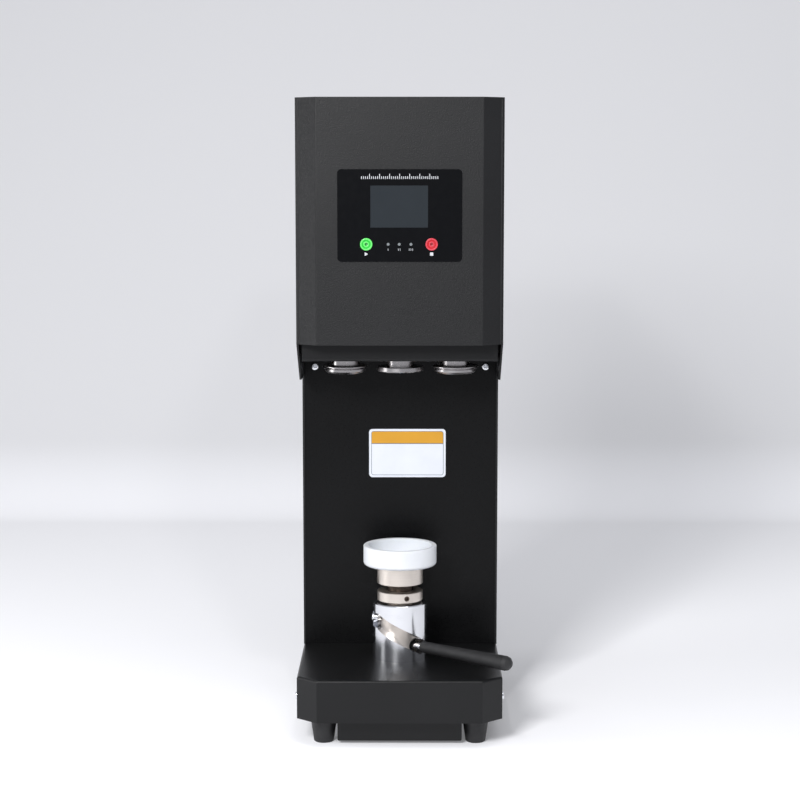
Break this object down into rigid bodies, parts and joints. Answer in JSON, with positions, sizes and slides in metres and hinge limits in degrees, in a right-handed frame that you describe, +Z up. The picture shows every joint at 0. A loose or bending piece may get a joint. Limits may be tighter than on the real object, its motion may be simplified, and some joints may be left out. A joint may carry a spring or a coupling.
{
  "type": "can seamer",
  "caption": "Upright desktop can seamer with a chamfered black cabinet, cam-lift can seat with side handle, seaming chuck and two rollers.",
  "frame": {"origin": "on the floor, under the middle of the machine's outline seen from above", "axes": "+Z up, -Y towards the user, +X to the user's right; the can axis is the line x = 0, y = -46 mm"},
  "size_m": [0.2229, 0.2928, 0.657],
  "materials": {
    "black_coat": "fine textured powder coat",
    "zinc_steel": "zinc plated",
    "rubber": "matt",
    "bright_screw": "polished",
    "chrome": "polished",
    "satin_steel": "satin turned",
    "hard_steel": "ground",
    "aluminium": "machined",
    "cup_white": "satin",
    "panel_gloss": "gloss film",
    "screen_glass": "gloss",
    "board_green": "matt",
    "standoff": "turned",
    "led_lens": "frosted",
    "green_cap": "gloss",
    "red_cap": "gloss",
    "black_plastic": "fine grain"
  },
  "bodies": {
    "frame": {"base_shell": "black_coat", "base_floor": "black_coat", "base_tray": "black_coat", "feet": "rubber", "base_side_screws": "bright_screw", "lift_sleeve": "chrome", "stop_screw": "chrome", "column_front": "black_coat", "column_posts": "zinc_steel", "column_screws": "bright_screw", "side_plate_right": "black_coat", "side_plate_left": "black_coat", "rear_cover": "black_coat", "rear_screws": "bright_screw", "power_inlet": "black_plastic", "switch_frame": "black_plastic", "head_cover": "black_coat", "top_cover": "black_coat", "top_screws": "bright_screw", "control_overlay": "panel_gloss", "display_window": "screen_glass", "control_board": "board_green", "board_standoffs": "standoff", "status_leds": "led_lens", "head_plate": "black_coat", "head_rails": "black_coat", "deck_pillars": "zinc_steel", "motor_deck": "zinc_steel", "spindle_housing": "satin_steel", "drive_belt": "rubber", "drive_motor": "aluminium", "feed_motor": "zinc_steel", "arm_pivots": "satin_steel"},
    "lift_turn": {"thrust_washer": "satin_steel"},
    "lift": {"lift_shaft": "satin_steel", "rod_bush": "black_plastic", "handle_rod": "chrome", "handle_grip": "rubber", "lock_collar": "satin_steel", "collar_screws": "bright_screw"},
    "can_seat": {"cup_hub": "satin_steel", "can_cup": "cup_white"},
    "spindle": {"spindle": "satin_steel", "chuck": "hard_steel", "chuck_screw": "satin_steel", "spindle_pulley": "aluminium"},
    "motor_rotor": {"motor_pulley": "aluminium"},
    "feed_cam": {"feed_cam": "hard_steel"},
    "left_arm": {"left_arm": "hard_steel", "left_pin": "satin_steel"},
    "right_arm": {"right_arm": "hard_steel", "right_pin": "satin_steel"},
    "left_roller": {"left_roller": "hard_steel"},
    "right_roller": {"right_roller": "hard_steel"},
    "start_button": {"start_button": "green_cap"},
    "stop_button": {"stop_button": "red_cap"},
    "power_rocker": {"power_rocker": "black_plastic"}
  },
  "joints": [
    {"name": "handle_swing", "type": "hinge", "parent": "frame", "child": "lift_turn", "pos_m": [0, -0.046, 0.073], "axis": [0, 0, -1], "range_deg": [0, 106]},
    {"name": "lift_rise", "type": "slide", "parent": "lift_turn", "child": "lift", "axis": [0, 0, 1], "range_m": [0, 0.027]},
    {"name": "can_seat_spin", "type": "hinge", "parent": "lift", "child": "can_seat", "pos_m": [0, -0.046, 0.16], "axis": [0, 0, 1], "continuous": true},
    {"name": "spindle_spin", "type": "hinge", "parent": "frame", "child": "spindle", "pos_m": [0, -0.046, 0.4], "axis": [0, 0, 1], "continuous": true},
    {"name": "motor_spin", "type": "hinge", "parent": "frame", "child": "motor_rotor", "pos_m": [0, 0.094, 0.45], "axis": [0, 0, 1], "continuous": true},
    {"name": "cam_turn", "type": "hinge", "parent": "frame", "child": "feed_cam", "pos_m": [0, 0.049, 0.403], "axis": [0, 0, 1], "range_deg": [-45, 45]},
    {"name": "left_arm_swing", "type": "hinge", "parent": "frame", "child": "left_arm", "pos_m": [-0.04, 0.002, 0.403], "axis": [0, 0, 1], "range_deg": [-8.7, 8.7]},
    {"name": "right_arm_swing", "type": "hinge", "parent": "frame", "child": "right_arm", "pos_m": [0.04, 0.002, 0.403], "axis": [0, 0, 1], "range_deg": [-8.7, 8.7]},
    {"name": "left_roller_spin", "type": "hinge", "parent": "left_arm", "child": "left_roller", "pos_m": [-0.0575, -0.046, 0.382], "axis": [0, 0, 1], "continuous": true},
    {"name": "right_roller_spin", "type": "hinge", "parent": "right_arm", "child": "right_roller", "pos_m": [0.0575, -0.046, 0.382], "axis": [0, 0, 1], "continuous": true},
    {"name": "start_press", "type": "slide", "parent": "frame", "child": "start_button", "axis": [0, 1, 0], "range_m": [0, 0.001], "stiffness_N_per_m": 400, "springref_m": -0.001},
    {"name": "stop_press", "type": "slide", "parent": "frame", "child": "stop_button", "axis": [0, 1, 0], "range_m": [0, 0.001], "stiffness_N_per_m": 400, "springref_m": -0.001},
    {"name": "switch_rock", "type": "hinge", "parent": "frame", "child": "power_rocker", "pos_m": [0.03, 0.142, 0.105], "axis": [-1, 0, 0], "range_deg": [0, 20]}
  ],
  "couplings": [
    {"joint": "lift_rise", "follows": "handle_swing", "m_per_rad": 0.014594},
    {"joint": "motor_spin", "follows": "spindle_spin", "ratio": 1},
    {"joint": "left_arm_swing", "follows": "cam_turn", "ratio": 0.19111},
    {"joint": "right_arm_swing", "follows": "cam_turn", "ratio": 0.19111}
  ]
}
